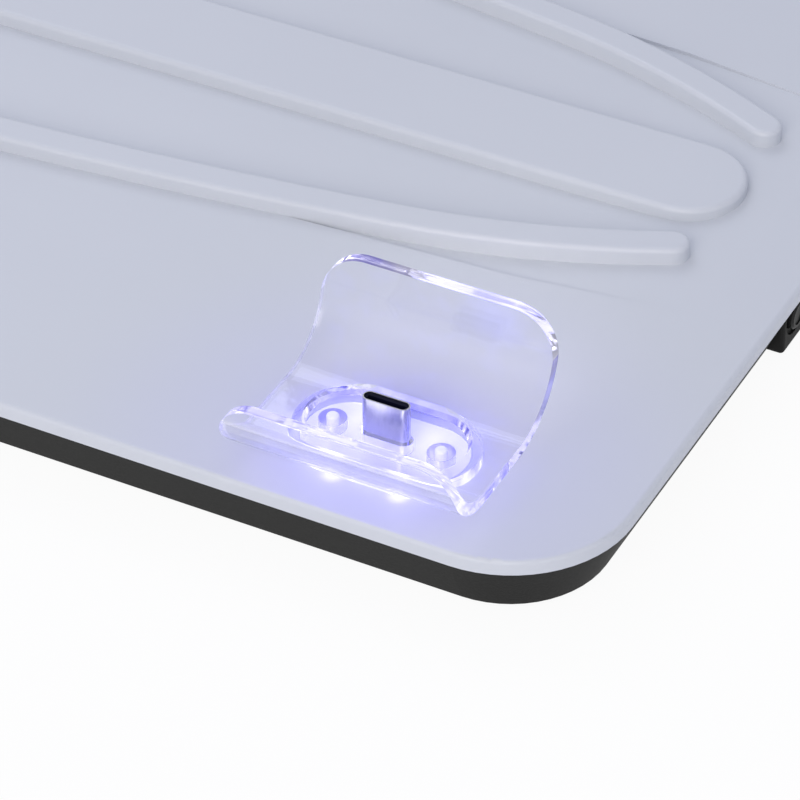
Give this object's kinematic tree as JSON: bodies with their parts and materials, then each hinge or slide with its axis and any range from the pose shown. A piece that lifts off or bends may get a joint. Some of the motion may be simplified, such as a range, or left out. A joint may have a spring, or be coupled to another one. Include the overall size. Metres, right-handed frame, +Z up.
{
  "type": "controller charging dock",
  "caption": "Low white stand base with a charcoal housing, raised rails, and a clear bent cradle with an upright lit charging plug for a game controller.",
  "frame": {"origin": "middle of the base, on the surface that the feet stand on", "axes": "+X to the front along the base's long side, +Y away from the side with the cradle, +Z up"},
  "size_m": [0.26, 0.208, 0.0342],
  "materials": {
    "white_shell": "fine satin texture",
    "charcoal_shell": "fine spark texture",
    "clear_acrylic": "polished clear acrylic",
    "milky_diffuser": "milky, lit from below",
    "plug_steel": "drawn and plated",
    "black_insulator": "moulded",
    "gold_contacts": "gold plated",
    "green_board": "solder mask",
    "led_white": "clear resin well",
    "chip_black": "moulded epoxy",
    "nylon_socket": "natural nylon",
    "lead_jacket": "soft vinyl",
    "screw_steel": "zinc plated",
    "ferrite": "pressed ferrite",
    "can_aluminium": "drawn can",
    "button_black": "fine spark texture",
    "foot_rubber": "moulded"
  },
  "bodies": {
    "dock": {"top_cover": "white_shell", "bottom_housing": "charcoal_shell", "clear_cradle": "clear_acrylic", "light_diffuser": "milky_diffuser", "plug_shell": "plug_steel", "plug_insulator": "black_insulator", "plug_contacts": "gold_contacts", "plug_base": "black_insulator", "dock_board": "green_board", "dock_leds": "led_white", "dock_resistors": "chip_black", "dock_charge_chip": "chip_black", "dock_socket": "nylon_socket", "dock_leads": "lead_jacket", "dock_screws": "screw_steel", "main_board": "green_board", "main_converter_chip": "chip_black", "main_inductor": "ferrite", "main_capacitors": "can_aluminium", "main_dock_socket": "nylon_socket", "main_power_socket": "nylon_socket", "button_board": "green_board", "switch_body": "chip_black", "inlet_board": "green_board", "inlet_shell": "plug_steel", "inlet_tongue": "black_insulator", "inlet_socket": "nylon_socket", "power_leads": "lead_jacket", "board_screws": "screw_steel", "housing_screws": "screw_steel", "foot_front_near": "foot_rubber", "foot_front_far": "foot_rubber", "foot_rear_near": "foot_rubber", "foot_rear_far": "foot_rubber"},
    "button": {"mode_button": "button_black", "switch_plunger": "nylon_socket"}
  },
  "joints": [
    {"name": "button_press", "type": "slide", "parent": "dock", "child": "button", "axis": [-1, 0, 0], "range_m": [0, 0.0005], "stiffness_N_per_m": 1200, "springref_m": -0.0005}
  ]
}
